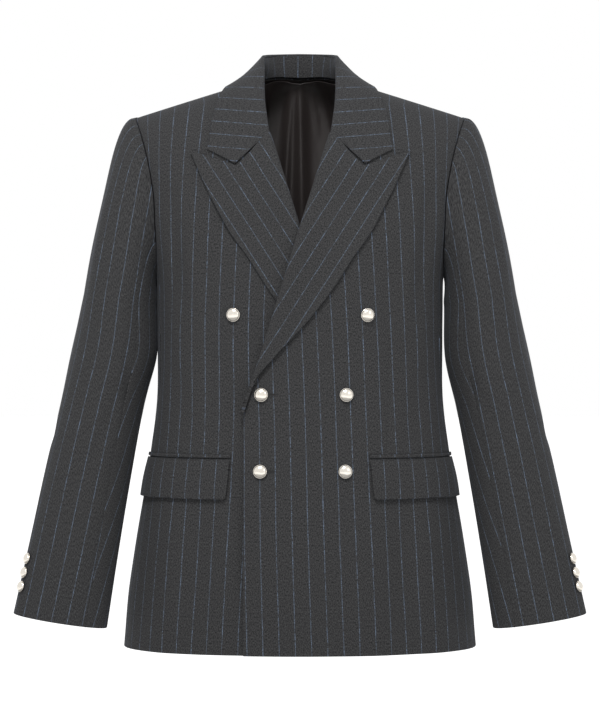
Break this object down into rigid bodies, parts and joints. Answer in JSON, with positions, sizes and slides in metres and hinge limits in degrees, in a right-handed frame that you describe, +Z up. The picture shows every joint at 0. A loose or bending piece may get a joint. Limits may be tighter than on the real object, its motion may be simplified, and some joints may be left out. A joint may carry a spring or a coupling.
{
  "type": "double breasted blazer, filled out with no wearer",
  "caption": "Hollow double breasted blazer as worn, closed left over right: peak lapels, flap pockets, domed metal buttons, pinstriped wool cloth.",
  "frame": {"origin": "the middle of the neck, level with the neck ends of the shoulder seams, where the wearer's neck and shoulders hold the blazer", "axes": "+Z up, -Y the blazer's front, +X the wearer's left"},
  "size_m": [0.7436, 0.2612, 0.7901],
  "materials": {
    "wool_cloth": "charcoal worsted wool with fine blue-grey chalk pinstripes, soft and matt",
    "lining_satin": "black-brown satin-weave lining, soft sheen",
    "button_metal": "polished pale silver metal with a lightly worked dome",
    "buttonhole_thread": "dark twisted buttonhole thread"
  },
  "bodies": {
    "root": {"front_left": "wool_cloth", "side_left": "wool_cloth", "back_left": "wool_cloth", "lapel_left": "wool_cloth", "top_sleeve_left": "wool_cloth", "under_sleeve_left": "wool_cloth", "pocket_welt_left": "wool_cloth", "pocket_flap_left": "wool_cloth", "front_right": "wool_cloth", "side_right": "wool_cloth", "back_right": "wool_cloth", "lapel_right": "wool_cloth", "top_sleeve_right": "wool_cloth", "under_sleeve_right": "wool_cloth", "pocket_welt_right": "wool_cloth", "pocket_flap_right": "wool_cloth", "collar_fall": "wool_cloth", "collar_stand": "wool_cloth", "back_lining": "lining_satin", "button_top_left": "button_metal", "button_top_right": "button_metal", "button_middle_left": "button_metal", "button_middle_right": "button_metal", "button_bottom_left": "button_metal", "button_bottom_right": "button_metal", "cuff_button_left_1": "button_metal", "cuff_button_left_2": "button_metal", "cuff_button_left_3": "button_metal", "cuff_button_right_1": "button_metal", "cuff_button_right_2": "button_metal", "cuff_button_right_3": "button_metal", "buttonhole_middle": "buttonhole_thread", "buttonhole_bottom": "buttonhole_thread"}
  },
  "joints": []
}
